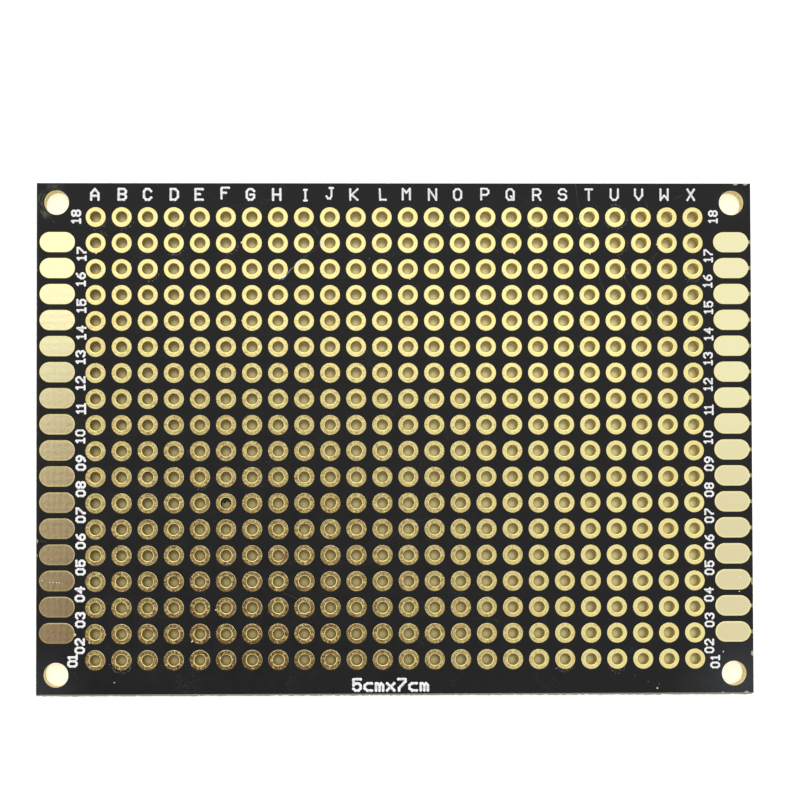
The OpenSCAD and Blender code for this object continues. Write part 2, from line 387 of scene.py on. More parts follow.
def black_mask(name, front):
    """Black mask, with the front face's own marks or with only its common haze."""
    material, tree, shader = new_material(name)
    place = millimetres(tree)
    axes = add(tree, "ShaderNodeSeparateXYZ", {0: place}).outputs
    cloud = noise(tree, place, 0.35, 3.0, 0.6)
    dusty = math_node(tree, "MULTIPLY", ramp(tree, cloud, 0.5, 0.8),
                      ramp(tree, noise(tree, place, 5.0, 4.0), 0.45, 0.7))
    colour = mixed(tree, dusty, MASK_BLACK, MASK_HAZE)
    if front:
        # Painted sheen: lighter, bluish patches at the bottom corners and round the two right mounting
        # holes.
        for x, y, reach, share in SHEEN_PLACES:
            sheen_share = ramp(tree, distance_to(tree, place, x, y), reach, 0.0, 0.0, share)
            colour = mixed(tree, sheen_share, colour, MASK_SHEEN)
        left_of = math_node(tree, "SUBTRACT", SCUFFED_HOLE[0], axes["X"])
        below = math_node(tree, "SUBTRACT", SCUFFED_HOLE[1], axes["Y"])
        turn = math_node(tree, "ARCTAN2", below, left_of)
        radius = distance_to(tree, place, *SCUFFED_HOLE)
        round_hole = add(tree, "ShaderNodeCombineXYZ",
                         {"X": math_node(tree, "MULTIPLY", radius, 3.0), "Y": turn}).outputs[0]
        streaks = ramp(tree, noise(tree, round_hole, 2.0, 3.0, 0.6), 0.42, 0.66)
        ring = math_node(tree, "MULTIPLY", ramp(tree, radius, 1.15, 1.45), ramp(tree, radius, 2.1, 1.7))
        side = math_node(tree, "MULTIPLY", ramp(tree, turn, -0.9, -0.3), ramp(tree, turn, 1.35, 0.9))
        rubbed = math_node(tree, "MULTIPLY", streaks, math_node(tree, "MULTIPLY", ring, side))
        smeared = math_node(tree, "MULTIPLY", ramp(tree, distance_to(tree, place, *SMEARED_PLACE), 1.2, 0.3),
                            ramp(tree, noise(tree, place, 2.2, 5.0, 0.7), 0.42, 0.66, 0.0, 0.7))
        colour = mixed(tree, math_node(tree, "MAXIMUM", rubbed, smeared), colour, MASK_SCUFF)
    to_end = math_node(tree, "SUBTRACT", mask_half_length, math_node(tree, "ABSOLUTE", axes["X"]))
    to_side = math_node(tree, "SUBTRACT", mask_half_width, math_node(tree, "ABSOLUTE", axes["Y"]))
    to_edge = math_node(tree, "MINIMUM", to_end, to_side)
    ragged = noise(tree, place, 2.6, 4.0, 0.7)
    chipped = ramp(tree, math_node(tree, "MULTIPLY_ADD", ragged, -0.5, to_edge), -0.29, -0.32)
    if front:
        for x, y, reach in CHIPPED_PLACES:
            chip_edge = math_node(tree, "MULTIPLY_ADD", ragged, 0.3, distance_to(tree, place, x, y))
            chipped = math_node(tree, "MAXIMUM", chipped, ramp(tree, chip_edge, reach + 0.12, reach + 0.08))
    colour = mixed(tree, chipped, colour, MASK_CHIP)
    tree.links.new(colour, shader.inputs["Base Color"])
    shader.inputs["Specular IOR Level"].default_value = 0.22
    tree.links.new(ramp(tree, noise(tree, place, 0.8, 3.0), 0.3, 0.7, 0.30, 0.42),
                   shader.inputs["Roughness"])
    skin = math_node(tree, "MULTIPLY_ADD", weave(tree, place), 0.4, noise(tree, place, 2.5, 3.0))
    tree.links.new(bump(tree, skin, 0.006), shader.inputs["Normal"])
    return material


dress(black_mask("solder_mask_front_black", True), "solder_mask_front")
dress(black_mask("solder_mask_back_black", False), "solder_mask_back")


# Legend: white epoxy ink screened on the mask, a letter over each column and a number beside each row, with
# the board's size along the bottom. Each character is drawn in single strokes of one width with round ends,
# and lies a little off its place and wavy at its edges, as screened ink does.
INK_WHITE = (0.97, 0.97, 0.965, 1)
INK_WORN = (0.70, 0.70, 0.69, 1)
INK_THICKNESS = 0.012
INK_SLOPE = 0.02
INK_LAP = 0.0015
LETTER_WAVINESS = 0.06
NUMBER_WAVINESS = 0.05
GOLDEN = (math.sqrt(5) - 1) / 2
COLUMN_LETTERS = "ABCDEFGHIJKLMNOPQRSTUVWX"
ROW_COUNT = 18
LETTER_Y = 23.80
LETTER_SIZE = (0.71, 1.04)
LETTER_STROKES = (0.24, 0.205)
LETTER_DRIFT = -0.07
DIGIT_GAP = 0.32
LEFT_DIGIT_SIZE = (0.50, 0.79)
RIGHT_DIGIT_SIZE = (0.46, 0.77)
DIGIT_STROKES = {"left": (0.235, 0.215), "right": (0.195, 0.185)}
LEFT_NUMBERS_X = -30.61
RIGHT_NUMBERS_X = 30.67
LEFT_NUMBERS_DROP = 0.49
RIGHT_NUMBERS_DROP = 0.70
LEGEND_TURN = 0.0025
SIZE_MARK = "5cmx7cm"
SIZE_MARK_AT = (-0.52, -24.04)
SIZE_MARK_GAP = 0.40
SIZE_MARK_SIZE = (0.69, 1.09)
SIZE_MARK_STROKE = 0.27

# The strokes of each character, in a box that is 1 wide and 1 high
STROKES = {
    "A": [[(0, 0), (0, 0.6), (0.5, 1), (1, 0.6), (1, 0)], [(0, 0.36), (1, 0.36)]],
    "B": [[(0, 0), (0, 1), (0.75, 1), (1, 0.82), (1, 0.68), (0.75, 0.52), (1, 0.34), (1, 0.18), (0.75, 0),
           (0, 0)],
          [(0, 0.52), (0.75, 0.52)]],
    "C": [[(1, 0.8), (0.72, 1), (0.28, 1), (0, 0.78), (0, 0.22), (0.28, 0), (0.72, 0), (1, 0.2)]],
    "D": [[(0, 0), (0, 1), (0.65, 1), (1, 0.75), (1, 0.25), (0.65, 0), (0, 0)]],
    "E": [[(1, 1), (0, 1), (0, 0), (1, 0)], [(0, 0.52), (0.62, 0.52)]],
    "F": [[(1, 1), (0.06, 1), (0, 0.9), (0, 0)], [(0, 0.52), (0.62, 0.52)]],
    "G": [[(1, 0.82), (0.72, 1), (0.28, 1), (0, 0.78), (0, 0.22), (0.28, 0), (0.72, 0), (1, 0.2), (1, 0.48),
           (0.52, 0.48)]],
    "H": [[(0, 0), (0, 1)], [(1, 0), (1, 1)], [(0, 0.48), (1, 0.48)]],
    "I": [[(0.5, 0), (0.5, 1)], [(0.31, 1), (0.69, 1)], [(0.31, 0), (0.69, 0)]],
    "J": [[(0.42, 1), (0.9, 1)], [(0.68, 1), (0.68, 0.22), (0.48, 0), (0.2, 0), (0, 0.22)]],
    "K": [[(0, 0), (0, 1)], [(1, 1), (0.2, 0.46), (1, 0)], [(0, 0.34), (0.2, 0.46)]],
    "L": [[(0, 1), (0.06, 0), (0.85, 0)]],
    "M": [[(0, 0), (0, 1), (0.5, 0.62), (1, 1), (1, 0)]],
    "N": [[(0, 0), (0, 1), (1, 0), (1, 1)]],
    "O": [[(0.3, 1), (0.7, 1), (1, 0.78), (1, 0.22), (0.7, 0), (0.3, 0), (0, 0.22), (0, 0.78), (0.3, 1)]],
    "P": [[(0, 0), (0, 1), (0.72, 1), (1, 0.82), (1, 0.6), (0.72, 0.42), (0, 0.42)]],
    "Q": [[(0.3, 1), (0.7, 1), (1, 0.78), (1, 0), (0.3, 0), (0, 0.22), (0, 0.78), (0.3, 1)],
          [(0.6, 0.34), (1, 0)]],
    "R": [[(0, 0), (0, 1), (0.72, 1), (1, 0.82), (1, 0.62), (0.72, 0.44), (0, 0.44)], [(0.6, 0.44), (1, 0)]],
    "S": [[(1, 0.82), (0.72, 1), (0.28, 1), (0, 0.82), (0, 0.66), (0.24, 0.52), (0.76, 0.52), (1, 0.36),
           (1, 0.18), (0.72, 0), (0.28, 0), (0, 0.18)]],
    "T": [[(0.05, 1), (0.95, 1)], [(0.5, 1), (0.5, 0)]],
    "U": [[(0, 1), (0, 0.24), (0.3, 0), (0.7, 0), (1, 0.24), (1, 1)]],
    "V": [[(0, 1), (0, 0.42), (0.5, 0), (1, 0.42), (1, 1)]],
    "W": [[(0, 1), (0, 0), (0.5, 0.42), (1, 0), (1, 1)]],
    "X": [[(0.04, 0), (0.96, 1)], [(0.04, 1), (0.96, 0)]],
    "0": [[(0.3, 1), (0.7, 1), (1, 0.8), (1, 0.2), (0.7, 0), (0.3, 0), (0, 0.2), (0, 0.8), (0.3, 1)]],
    "1": [[(0.24, 0.86), (0.5, 1), (0.5, 0)], [(0.14, 0), (0.86, 0)]],
    "2": [[(0, 0.8), (0.28, 1), (0.72, 1), (1, 0.8), (1, 0.62), (0, 0.06), (0, 0), (1, 0)]],
    "3": [[(0, 0.86), (0.24, 1), (0.76, 1), (1, 0.82), (1, 0.68), (0.62, 0.52), (1, 0.36), (1, 0.18),
           (0.76, 0), (0.24, 0), (0, 0.14)]],
    "4": [[(0.72, 0), (0.72, 1), (0, 0.36), (1, 0.36)]],
    "5": [[(1, 1), (0, 1), (0, 0.46), (0.3, 0.62), (0.74, 0.62), (1, 0.44), (1, 0.2), (0.74, 0), (0.26, 0),
           (0, 0.16)]],
    "6": [[(0.9, 1), (0.4, 0.84), (0, 0.46), (0, 0.2), (0.28, 0), (0.72, 0), (1, 0.2), (1, 0.36),
           (0.72, 0.54), (0.1, 0.54)]],
    "7": [[(0, 1), (1, 1), (1, 0.8), (0.1, 0.2), (0.1, 0)]],
    "8": [[(0.28, 1), (0.72, 1), (1, 0.84), (1, 0.68), (0.72, 0.52), (0.28, 0.52), (0, 0.68), (0, 0.84),
           (0.28, 1)],
          [(0.28, 0.52), (0, 0.36), (0, 0.16), (0.28, 0), (0.72, 0), (1, 0.16), (1, 0.36), (0.72, 0.52)]],
    "9": [[(0.1, 0), (0.6, 0.16), (1, 0.54), (1, 0.8), (0.72, 1), (0.28, 1), (0, 0.8), (0, 0.64),
           (0.28, 0.46), (0.9, 0.46)]],
    "c": [[(1, 0.63), (0.36, 0.63), (0, 0.46), (0, 0.17), (0.36, 0), (1, 0)]],
    "m": [[(0, 0), (0, 0.63), (0.24, 0.63), (0.5, 0.46), (0.5, 0)],
          [(0.5, 0.46), (0.74, 0.63), (1, 0.46), (1, 0)]],
    "x": [[(0, 0), (1, 0.63)], [(0, 0.63), (1, 0)]],
}


def stroke_tree():
    """Geometry Nodes tree that turns bare edges into low flat-topped strokes with round ends and joints."""
    tree, given, result = geometry_tree("ink_strokes", [
        ("Lines", "Geometry"), ("Width", "Float"), ("Thickness", "Float"), ("Slope", "Float"),
        ("Waviness", "Float"), ("Material", "Material")])
    top_width = math_node(tree, "MULTIPLY_ADD", given["Slope"], -2.0, given["Width"])
    lines = add(tree, "GeometryNodeMeshToCurve", {"Mesh": given["Lines"]}).outputs[0]
    lines = add(tree, "GeometryNodeSetCurveNormal", {"Curve": lines}, mode="Z_UP").outputs[0]
    section = add(tree, "GeometryNodeCurvePrimitiveQuadrilateral", {
        "Bottom Width": given["Width"], "Top Width": top_width, "Height": given["Thickness"], "Offset": 0.0,
    }, mode="TRAPEZOID").outputs[0]
    ribbons = add(tree, "GeometryNodeCurveToMesh", {
        "Curve": lines, "Profile Curve": section, "Fill Caps": True}).outputs[0]
    radius = math_node(tree, "MULTIPLY", given["Width"], 0.5)
    top_radius = math_node(tree, "MULTIPLY", top_width, 0.5)
    dot = add(tree, "GeometryNodeMeshCone", {
        "Vertices": 14, "Radius Top": top_radius, "Radius Bottom": radius, "Depth": given["Thickness"],
    }).outputs["Mesh"]
    half = math_node(tree, "MULTIPLY_ADD", given["Thickness"], -0.5, INK_LAP * MM)
    lowered = add(tree, "ShaderNodeCombineXYZ", {"Z": half}).outputs[0]
    dot = add(tree, "GeometryNodeTransform", {"Geometry": dot, "Translation": lowered}).outputs[0]
    ends = add(tree, "GeometryNodeMergeByDistance",
               {"Geometry": given["Lines"], "Distance": INK_LAP * MM}).outputs[0]
    dots = add(tree, "GeometryNodeInstanceOnPoints", {"Points": ends, "Instance": dot}).outputs[0]
    joined = add(tree, "GeometryNodeJoinGeometry")
    tree.links.new(ribbons, joined.inputs[0])
    tree.links.new(dots, joined.inputs[0])
    solid = add(tree, "GeometryNodeRealizeInstances", {"Geometry": joined.outputs[0]}).outputs[0]
    position = add(tree, "GeometryNodeInputPosition").outputs[0]
    wave = add(tree, "ShaderNodeTexNoise",
               {"Vector": position, "Scale": 3.0 / MM, "Detail": 1.0}).outputs["Color"]
    centred = add(tree, "ShaderNodeVectorMath", {0: wave, 1: (0.5, 0.5, 0.5)},
                  operation="SUBTRACT").outputs[0]
    flat = add(tree, "ShaderNodeVectorMath", {0: centred, 1: (1, 1, 0)}, operation="MULTIPLY").outputs[0]
    shift = add(tree, "ShaderNodeVectorMath", {0: flat, "Scale": given["Waviness"]},
                operation="SCALE").outputs[0]
    solid = add(tree, "GeometryNodeSetPosition", {"Geometry": solid, "Offset": shift}).outputs[0]
    solid = add(tree, "GeometryNodeSetMaterial",
                {"Geometry": solid, "Material": given["Material"]}).outputs[0]
    tree.links.new(solid, result.inputs[0])
    return tree


def stroke_piece(name, lines, width, thickness, slope, waviness, material):
    """One piece of strokes on the mask's front face, from lines of points in millimetres."""
    points = []
    for line in lines:
        for ends in zip(line, line[1:]):
            lap = INK_LAP * (len(points) * GOLDEN % 1)
            height = MASK_TOP + (thickness / 2 - lap) * MM
            points += [(x * MM, y * MM, height) for x, y in ends]
    edges = [(i, i + 1) for i in range(0, len(points), 2)]
    values = {"Width": width * MM, "Thickness": thickness * MM, "Slope": slope * MM,
              "Waviness": waviness * MM, "Material": material}
    piece = run_tree(name, points, edges, strokes_tree, values)
    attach(piece, "root")
    return piece


def written(text, size, gap=0.0):
    """Lines of a text read along X from 0, each character as wide as its strokes, and the text's width."""
    lines = []
    pen = 0.0
    for character in text:
        across = [x * size[0] for stroke in STROKES[character] for x, y in stroke]
        for stroke in STROKES[character]:
            lines.append([(pen + x * size[0] - min(across), (y - 0.5) * size[1]) for x, y in stroke])
        pen += max(across) - min(across) + gap
    return lines, pen - gap


def centred(text, x, y, size, gap=0.0):
    """Lines of a text about a point, read along X."""
    lines, width = written(text, size, gap)
    return [[(x - width / 2 + along, y + up) for along, up in line] for line in lines]


def turned(text, x, top, size, gap):
    """Lines of a text about a place in X, read upwards along Y as far as its top."""
    lines, width = written(text, size, gap)
    return [[(x - up, top - width + along) for along, up in line] for line in lines]


def row_y(row):
    """Height of a row on the face, in millimetres, from its printed number."""
    return (row - (ROW_COUNT + 1) / 2) * PITCH


def column_x(letter):
    """Distance of a column from the middle of the board, in millimetres, from its printed letter."""
    return (COLUMN_LETTERS.index(letter) - (len(COLUMN_LETTERS) - 1) / 2) * PITCH


ink, tree, shader = new_material("legend_ink_white")
place = millimetres(tree)
worn = ramp(tree, noise(tree, place, 9.0, 3.0, 0.7), 0.62, 0.78, 0.0, 0.12)
tree.links.new(mixed(tree, worn, INK_WHITE, INK_WORN), shader.inputs["Base Color"])
shader.inputs["Roughness"].default_value = 0.55
tree.links.new(bump(tree, noise(tree, place, 12.0, 2.0), 0.004), shader.inputs["Normal"])

strokes_tree = stroke_tree()
letter_shift = {"B": 0.13, "C": 0.06, "D": 0.13, "H": -0.04, "I": 0.22, "J": 0.07, "L": 0.17, "G": -0.07,
                "K": -0.12, "M": -0.07, "N": -0.04, "O": -0.13, "Q": -0.06, "T": 0.04, "V": -0.15,
                "W": -0.18, "X": -0.11}
letter_rise = {"F": 0.14, "J": 0.12, "I": -0.07, "M": 0.05, "P": 0.05}
for name, letters, stroke in [("column_letters_left", COLUMN_LETTERS[:8], LETTER_STROKES[0]),
                              ("column_letters_right", COLUMN_LETTERS[8:], LETTER_STROKES[1])]:
    letter_lines = []
    for letter in letters:
        letter_x = column_x(letter) + LETTER_DRIFT + letter_shift.get(letter, 0)
        letter_lines += centred(letter, letter_x, LETTER_Y + letter_rise.get(letter, 0), LETTER_SIZE)
    stroke_piece(name, letter_lines, stroke, INK_THICKNESS, INK_SLOPE, LETTER_WAVINESS, ink)

# The outermost numbers stand in from the others, by the mounting holes, and some rows are off their place
corner_places = {("left", 1): (-31.40, -21.1), ("left", 18): (-31.10, 22.2), ("right", 1): (31.15, -21.33),
                 ("right", 18): (31.2, 22.18)}
row_shift = {16: (-0.07, 0.06), 14: (0.0, -0.06), 13: (-0.06, 0.07), 12: (-0.065, 0.08), 10: (-0.065, -0.03),
             4: (-0.055, -0.05), 2: (-0.045, 0.0)}
close_digits = {("left", 1): 0.20, ("left", 11): 0.18, ("right", 11): 0.18}
sides = [("left", LEFT_NUMBERS_X, LEFT_NUMBERS_DROP, LEFT_DIGIT_SIZE),
         ("right", RIGHT_NUMBERS_X, RIGHT_NUMBERS_DROP, RIGHT_DIGIT_SIZE)]
for side, numbers_x, drop, size in sides:
    for part, rows, stroke in [("lower", range(1, 10), DIGIT_STROKES[side][0]),
                               ("upper", range(10, ROW_COUNT + 1), DIGIT_STROKES[side][1])]:
        number_lines = []
        for row in rows:
            shift_x, shift_y = row_shift.get(row, (0.0, 0.0))
            beside = (numbers_x + LEGEND_TURN * row_y(row) + shift_x, row_y(row) - drop + shift_y)
            x, top = corner_places.get((side, row), beside)
            gap = close_digits.get((side, row), DIGIT_GAP)
            number_lines += turned(f"{row:02d}", x, top, size, gap)
        stroke_piece(f"row_numbers_{side}_{part}", number_lines, stroke, INK_THICKNESS, INK_SLOPE,
                     NUMBER_WAVINESS, ink)

size_lines = centred(SIZE_MARK, *SIZE_MARK_AT, SIZE_MARK_SIZE, SIZE_MARK_GAP)
stroke_piece("size_mark", size_lines, SIZE_MARK_STROKE, INK_THICKNESS, INK_SLOPE, NUMBER_WAVINESS, ink)


# Wear: scratches, a white hair that runs on over three pads, drawn over them as white glints, a painted
# highlight, dust caught round the pads, burrs of plating on a few rims, and two lead holes with dark walls:
# F07, whose plating didn't take, with a crust and a lump of residue in it, and C08 with a crust. All lie
# where the photograph shows them.
SCRATCH = (0.085, 0.086, 0.080, 1)
DUST = (0.34, 0.33, 0.29, 1)
DUST_SHADE = (0.12, 0.12, 0.11, 1)
SPECK = (0.85, 0.84, 0.78, 1)
SPECK_SHADE = (0.6, 0.59, 0.54, 1)
HAIR_WHITE = (0.40, 0.40, 0.38, 1)
HAIR_SHADE = (0.28, 0.28, 0.27, 1)
GLINT = (1.0, 1.0, 0.96, 1)
GLINT_SHADE = (0.9, 0.9, 0.85, 1)
FLECK = (1.0, 0.95, 0.74, 1)
FLECK_SHADE = (0.95, 0.85, 0.60, 1)
BARE_WALL = (0.010, 0.008, 0.004, 1)
BARE_WALL_SHEEN = (0.03, 0.022, 0.010, 1)
BARE_WALL_HEIGHT = 1.35
BARE_WALL_STEP = 0.08
BARE_WALL_POINTS_APART = 0.1
SCRATCH_WIDTH = 0.05
SCRATCH_THICKNESS = 0.004
HAIR_WIDTH = 0.07
HAIR_THICKNESS = 0.02
HAIR_GLINT_WIDTH = 0.15
HAIR_GLINT_PROUD = 0.012
BURR_SINK = 0.03
PAD_RADIUS = 1.0
DUST_GAP = 0.2
DUST_APART = 0.11
DUST_DRIFT = 0.13
SCRATCHES = [
    [(17.72, 24.80), (17.84, 23.90), (17.91, 23.03), (18.10, 22.50)],
    [(24.59, 23.24), (24.66, 22.9), (24.78, 22.55)], [(27.44, 23.43), (27.75, 23.53), (28.13, 23.73)],
    [(20.03, 15.87), (20.10, 15.2), (20.30, 14.75), (20.52, 14.40)],
    [(21.81, 17.93), (22.20, 17.2), (22.42, 16.5), (22.50, 15.7), (22.80, 15.1), (23.17, 14.59)],
    [(24.75, 17.14), (25.20, 17.55), (25.74, 18.13)], [(25.0, 17.05), (25.5, 17.5)],
    [(24.53, 12.92), (25.30, 11.95), (25.95, 10.95), (26.48, 9.98)],
    [(16.90, 12.70), (17.35, 12.1), (17.60, 11.30)], [(17.40, 14.20), (17.95, 13.45)],
    [(-33.95, 21.95), (-33.6, 21.45), (-33.2, 21.05)], [(-10.9, -15.15), (-10.2, -15.38), (-9.4, -15.80)],
    [(-34.80, -10.03), (-34.40, -9.98), (-34.02, -10.03)], [(-20.3, -1.1), (-20.1, -1.5)],
    [(-11.82, 15.38), (-11.5, 15.33), (-11.1, 15.42)],
    [(-9.05, 17.52), (-8.48, 17.92), (-7.91, 18.42), (-7.46, 18.76)],
    [(-7.47, 19.77), (-7.64, 20.23), (-7.86, 20.51)], [(9.82, 20.51), (10.49, 19.89)],
    [(9.87, 18.37), (10.32, 18.03)],
]
HAIR = [[(-11.0, 15.48), (-10.76, 15.68), (-10.43, 16.12), (-10.15, 16.51), (-9.87, 16.68), (-9.74, 16.82)]]
HAIR_GLINTS_ON_PADS = [[(-11.27, 15.56), (-10.95, 15.68), (-10.70, 15.86)],
                [(-9.66, 16.65), (-9.48, 17.05), (-9.16, 17.38)],
                [(-7.16, 18.72), (-7.20, 19.08), (-7.12, 19.42)]]
SPECKS = [(5.58, 13.22), (-27.37, -23.76), (-27.32, -23.72), (31.97, -20.90), (31.94, -20.93),
          (-29.77, -19.88), (-19.82, -19.79), (25.47, -24.44), (25.50, -24.42)]
FAINT_SPECKS = [(-31.19, -22.83), (21.40, -23.00), (21.79, -23.01), (-18.05, 23.89), (16.0, 10.3),
                (15.0, 17.4), (17.9, 8.9), (-7.86, 20.51), (-2.50, 17.53), (10.26, 12.57), (28.0, -4.6),
                (-5.2, 21.0), (9.1, -9.0), (-24.1, 9.4), (25.60, -24.20), (25.66, -24.02), (-12.44, -16.98),
                (-17.98, -21.40), (14.35, 16.6), (23.3, -23.2), (24.6, -23.8)]
PAD_FLECKS = [(-34.35, -13.82), (-33.6, -13.98), (-33.3, -14.0), (-32.95, -14.02), (-32.7, -14.06),
              (-32.4, -14.14), (32.14, -13.56), (33.64, -13.59), (33.57, -15.04)]
BURRS = [(-14.98, 19.10), (-14.98, 11.45), (11.70, 18.08), (1.45, 15.50), (19.10, 18.04), (25.64, 18.91),
         (28.80, 18.19), (-26.67, -17.23), (-31.16, -19.12), (-29.15, 18.05), (-17.50, -16.73),
         (-18.09, -19.37), (-19.74, -19.72), (-28.19, -19.1)]
DUST_ARCS = [("O", 18, 205, 250), ("U", 18, -150, 40), ("U", 18, 60, 110), ("U", 17, -70, 20),
             ("T", 18, 190, 260), ("R", 18, 230, 300), ("A", 18, -100, -10), ("B", 18, -90, -30),
             ("D", 18, -110, -20), ("D", 17, -110, -30), ("F", 17, -80, 0), ("C", 16, -90, -20),
             ("U", 16, -60, 0), ("A", 17, 30, 70), ("S", 1, 220, 320), ("U", 1, 230, 310),
             ("B", 1, 200, 330), ("X", 16, -120, -40), ("E", 8, -110, -40)]
BARE_HOLES = [("f07", ("F", 7), (0, 360), 0.53, 0.03), ("f07_crust", ("F", 7), (-5, 205), 0.48, 0.05),
              ("f07_lump", ("F", 7), (32, 168), 0.35, 0.19), ("c08_crust", ("C", 8), (-20, 120), 0.51, 0.05)]


def flake_tree():
    """Geometry Nodes tree that lays a flake at every point, drifted, turned and sized by chance."""
    tree, given, result = geometry_tree("flakes", [
        ("Points", "Geometry"), ("Size", "Float"), ("Drift", "Float"), ("Seed", "Int"),
        ("Material", "Material")])
    drift = add(tree, "FunctionNodeRandomValue", {0: (-1, -1, 0), 1: (1, 1, 0), "Seed": given["Seed"]},
                data_type="FLOAT_VECTOR").outputs[0]
    drift = add(tree, "ShaderNodeVectorMath", {0: drift, "Scale": given["Drift"]},
                operation="SCALE").outputs[0]
    points = add(tree, "GeometryNodeSetPosition", {"Geometry": given["Points"], "Offset": drift}).outputs[0]
    flake = add(tree, "GeometryNodeMeshIcoSphere", {"Radius": 0.5, "Subdivisions": 2}).outputs["Mesh"]
    flat = add(tree, "ShaderNodeVectorMath", {0: (1.0, 0.7, 0.25), "Scale": given["Size"]},
               operation="SCALE").outputs[0]
    flake = add(tree, "GeometryNodeTransform", {"Geometry": flake, "Scale": flat}).outputs[0]
    turn = add(tree, "FunctionNodeRandomValue",
               {0: (0, 0, 0), 1: (0, 0, 2 * math.pi), "Seed": given["Seed"]},
               data_type="FLOAT_VECTOR").outputs[0]
    size = add(tree, "FunctionNodeRandomValue",
               {2: 0.5, 3: 1.3, "Seed": given["Seed"]}, data_type="FLOAT").outputs[1]
    flakes = add(tree, "GeometryNodeInstanceOnPoints", {
        "Points": points, "Instance": flake, "Rotation": turn, "Scale": size}).outputs[0]
    flakes = add(tree, "GeometryNodeRealizeInstances", {"Geometry": flakes}).outputs[0]
    flakes = add(tree, "GeometryNodeSetMaterial",
                 {"Geometry": flakes, "Material": given["Material"]}).outputs[0]
    tree.links.new(flakes, result.inputs[0])
    return tree


def speckled(name, colour, other):
    """Matt material whose colour wanders towards another one over a tenth of a millimetre."""
    material, tree, shader = new_material(name)
    share = ramp(tree, noise(tree, millimetres(tree), 10.0, 3.0, 0.6), 0.4, 0.65)
    tree.links.new(mixed(tree, share, colour, other), shader.inputs["Base Color"])
    shader.inputs["Roughness"].default_value = 0.7
    return material


def flake_piece(name, places, height, size, drift, seed, material):
    """One piece of flakes lying at a height, from places in millimetres."""
    values = {"Size": size * MM, "Drift": drift * MM, "Seed": seed, "Material": material}
    piece = run_tree(name, [(x * MM, y * MM, height) for x, y in places], [], flakes_tree, values)
    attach(piece, "root")


def arc(x, y, radius, start, end, step):
    """Points round a centre, in millimetres, from one angle to another in degrees."""
    count = max(2, round(math.radians(end - start) * radius / step))
    turns = [math.radians(start + (end - start) * k / count) for k in range(count + 1)]
    return [(x + radius * math.cos(turn), y + radius * math.sin(turn)) for turn in turns]


flakes_tree = flake_tree()
scratch_grey = speckled("scratched_mask", SCRATCH, MASK_BLACK)
dust_grey = speckled("pale_dust", DUST, DUST_SHADE)
bright_dust = speckled("bright_dust", SPECK, SPECK_SHADE)
hair_white = speckled("hair_white", HAIR_WHITE, HAIR_SHADE)
glint = speckled("hair_glint", GLINT, GLINT_SHADE)
bright_fleck = speckled("bright_fleck", FLECK, FLECK_SHADE)
stroke_piece("scratches", SCRATCHES, SCRATCH_WIDTH, SCRATCH_THICKNESS,
             0.008, 0.08, scratch_grey)
stroke_piece("hair", HAIR, HAIR_WIDTH, HAIR_THICKNESS, 0.02, 0.02, hair_white)
# Painted highlight: where the hair crosses the pads it is drawn as white glints, lit copies of the grey
# hair.
hair_glint_top = (FRONT_FACE - MASK_TOP) / MM + HAIR_GLINT_PROUD
stroke_piece("hair_glints_on_pads", HAIR_GLINTS_ON_PADS, HAIR_GLINT_WIDTH,
             hair_glint_top, 0.03, 0.02, glint)
flake_piece("specks", SPECKS, MASK_TOP, 0.15, 0.0, 1, bright_dust)
flake_piece("faint_specks", FAINT_SPECKS, MASK_TOP, 0.09, 0.0, 2, dust_grey)
flake_piece("pad_flecks", PAD_FLECKS, FRONT_FACE, 0.11, 0.02, 3, bright_fleck)
flake_piece("burrs", BURRS, FRONT_FACE - BURR_SINK * MM, 0.22, 0.0, 4, hole_gold)
dust_places = []
for letter, row, start, end in DUST_ARCS:
    dust_places += arc(column_x(letter), row_y(row), PAD_RADIUS + DUST_GAP, start, end, DUST_APART)
flake_piece("dust", dust_places, MASK_TOP, 0.07, DUST_DRIFT, 5, dust_grey)
bare_wall = speckled("bare_wall", BARE_WALL, BARE_WALL_SHEEN)
for name, hole, (start, end), radius, depth in BARE_HOLES:
    flat_ring = arc(column_x(hole[0]), row_y(hole[1]), radius, start, end, BARE_WALL_POINTS_APART)
    ring = [(x * MM, y * MM, middle_z) for x, y in flat_ring]
    values = {"Depth": depth * MM, "Height": BARE_WALL_HEIGHT * MM, "Step": BARE_WALL_STEP * MM,
              "Material": bare_wall}
    edges = [(k, k + 1) for k in range(len(ring) - 1)]
    lining = run_tree(f"bare_wall_{name}", ring, edges, torn_tree, values)
    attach(lining, "root")


# Floor: a sheet of white paper under the board. It is white all round, as the camera and the metal see it.
# Under the grid it is coloured gold and glows with a painted pool of light under each lead hole, a little
# below the hole's axis and brighter towards the lamp, standing for the light that comes down the holes.
# Elsewhere under the board, where the mounting holes show it, it glows a painted warm light.
FLOOR_SIZE = 3.0
FLOOR_DROP = 0.02
FLOOR_WHITE = (0.90, 0.90, 0.895, 1)
PAPER_FLECK = (0.91, 0.91, 0.91, 1)
FLOOR_LIFT = 0.5
PAINTED_WARM_LIGHT = (1.0, 0.96, 0.78, 1)
GRID_HALF = (31.2, 22.6)
POOL_RADIUS = 0.58
POOL_CORE = 0.08
POOL_DRIFT = 0.18
POOL_LIFT = 0.20
POOL_LAMP_LIFT = 0.17
POOL_COLOUR = (1.0, 0.89, 0.41, 1)
LAMP_SIDE = (-36.0, 40.0)
GOLD_LIT = (0.60, 0.51, 0.30, 1)

